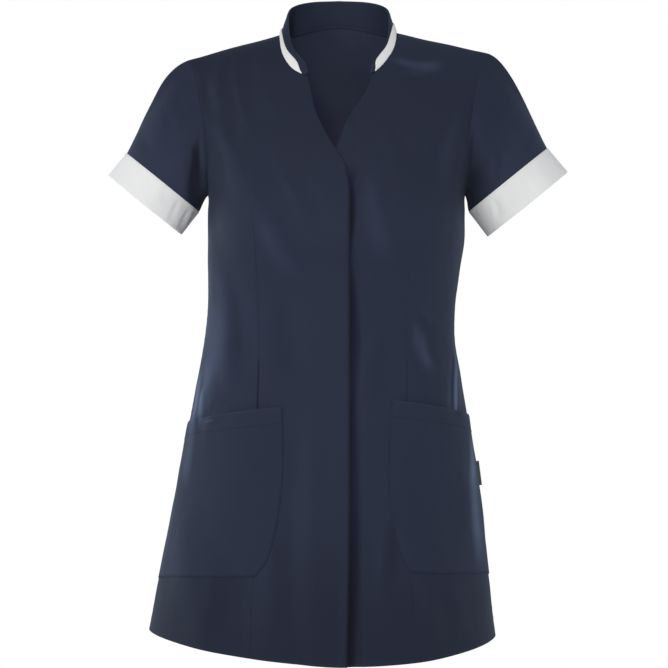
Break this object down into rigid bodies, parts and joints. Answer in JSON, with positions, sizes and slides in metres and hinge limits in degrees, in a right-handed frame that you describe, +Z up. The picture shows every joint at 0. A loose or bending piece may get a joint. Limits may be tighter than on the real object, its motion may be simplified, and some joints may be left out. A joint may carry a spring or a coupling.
{
  "type": "work tunic",
  "caption": "Short-sleeved work tunic, hollow as worn, with a wrapped V neck, stand collar, princess seams, white cuffs and large patch pockets.",
  "frame": {"origin": "on the line between the neck ends of the two shoulder seams, in the middle of the neck, where the tunic hangs on a wearer's shoulders", "axes": "+Z up from hem to collar, -Y towards the front opening, +X to the wearer's left"},
  "size_m": [0.5748, 0.3006, 0.8187],
  "materials": {
    "navy_cloth": "matt woven cloth with a faint sheen",
    "white_cloth": "matt woven cloth",
    "tab_cloth": "matt woven tape"
  },
  "bodies": {
    "root": {"right_front_centre": "navy_cloth", "right_front_side": "navy_cloth", "right_front_skirt": "navy_cloth", "left_front_centre": "navy_cloth", "left_front_side": "navy_cloth", "left_front_skirt": "navy_cloth", "back_centre": "navy_cloth", "right_back_side": "navy_cloth", "left_back_side": "navy_cloth", "right_sleeve": "navy_cloth", "left_sleeve": "navy_cloth", "right_cuff": "white_cloth", "left_cuff": "white_cloth", "collar_stand": "navy_cloth", "collar_trim": "white_cloth", "right_pocket": "navy_cloth", "left_pocket": "navy_cloth", "side_tab": "tab_cloth"}
  },
  "joints": []
}
